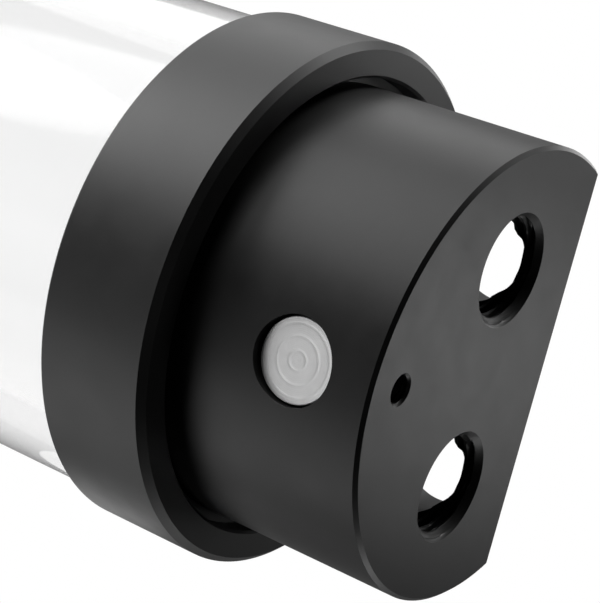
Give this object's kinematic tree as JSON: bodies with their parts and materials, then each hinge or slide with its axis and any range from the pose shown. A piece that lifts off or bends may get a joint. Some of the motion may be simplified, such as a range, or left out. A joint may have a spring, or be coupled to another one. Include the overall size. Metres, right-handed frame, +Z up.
{
  "type": "water cooling reservoir",
  "caption": "Upright cylindrical coolant reservoir: clear tube between two black caps with a milled flat, held by screw collars, with threaded ports and a round metal badge.",
  "frame": {"origin": "centre of the base cap's end face, on the axis of the reservoir, on the surface that it stands on", "axes": "+Z up along the tube, +Y towards the milled flats at the back, -Y towards the badge, +X to the right seen from the badge's side"},
  "size_m": [0.0668, 0.0668, 0.2198],
  "materials": {
    "cap_black": "satin turned acetal",
    "collar_black": "satin turned acetal",
    "tube_clear": "clear polished acrylic",
    "badge_metal": "fine turned satin",
    "seal_rubber": "matte",
    "plug_black": "satin black plating"
  },
  "bodies": {
    "base": {"base_cap": "cap_black", "base_badge": "badge_metal", "base_flange_seal": "seal_rubber", "base_spigot_seal": "seal_rubber"},
    "lower_collar": {"base_collar": "collar_black"},
    "tube": {"reservoir_tube": "tube_clear"},
    "upper_cap": {"top_cap": "cap_black", "top_flange_seal": "seal_rubber", "top_spigot_seal": "seal_rubber"},
    "upper_collar": {"top_collar": "collar_black"},
    "left_plug_ring": {"fill_plug_left_seal": "seal_rubber"},
    "left_plug": {"fill_plug_left": "plug_black"},
    "right_plug_ring": {"fill_plug_right_seal": "seal_rubber"},
    "right_plug": {"fill_plug_right": "plug_black"}
  },
  "joints": [
    {"name": "lower_collar_turn", "type": "hinge", "parent": "base", "child": "lower_collar", "pos_m": [0, 0, 0.033], "axis": [0, 0, -1], "range_deg": [0, 1440]},
    {"name": "tube_lift", "type": "slide", "parent": "base", "child": "tube", "axis": [0, 0, 1], "range_m": [0, 0.008]},
    {"name": "upper_cap_lift", "type": "slide", "parent": "tube", "child": "upper_cap", "axis": [0, 0, 1], "range_m": [0, 0.008]},
    {"name": "upper_collar_turn", "type": "hinge", "parent": "upper_cap", "child": "upper_collar", "pos_m": [0, 0, 0.1828], "axis": [0, 0, 1], "range_deg": [0, 1440]},
    {"name": "left_plug_lift", "type": "slide", "parent": "upper_cap", "child": "left_plug_ring", "axis": [0, 0, 1], "range_m": [0, 0.00668]},
    {"name": "left_plug_turn", "type": "hinge", "parent": "left_plug_ring", "child": "left_plug", "pos_m": [-0.01315, -0.0037, 0.2158], "axis": [0, 0, 1], "range_deg": [0, 1800]},
    {"name": "right_plug_lift", "type": "slide", "parent": "upper_cap", "child": "right_plug_ring", "axis": [0, 0, 1], "range_m": [0, 0.00668]},
    {"name": "right_plug_turn", "type": "hinge", "parent": "right_plug_ring", "child": "right_plug", "pos_m": [0.01315, -0.0037, 0.2158], "axis": [0, 0, 1], "range_deg": [0, 1800]}
  ],
  "couplings": [
    {"joint": "lower_collar_turn", "follows": "tube_lift", "rad_per_m": 3141.6},
    {"joint": "upper_collar_turn", "follows": "upper_cap_lift", "rad_per_m": 3141.6},
    {"joint": "left_plug_turn", "follows": "left_plug_lift", "rad_per_m": 4699.5},
    {"joint": "right_plug_turn", "follows": "right_plug_lift", "rad_per_m": 4699.5}
  ]
}
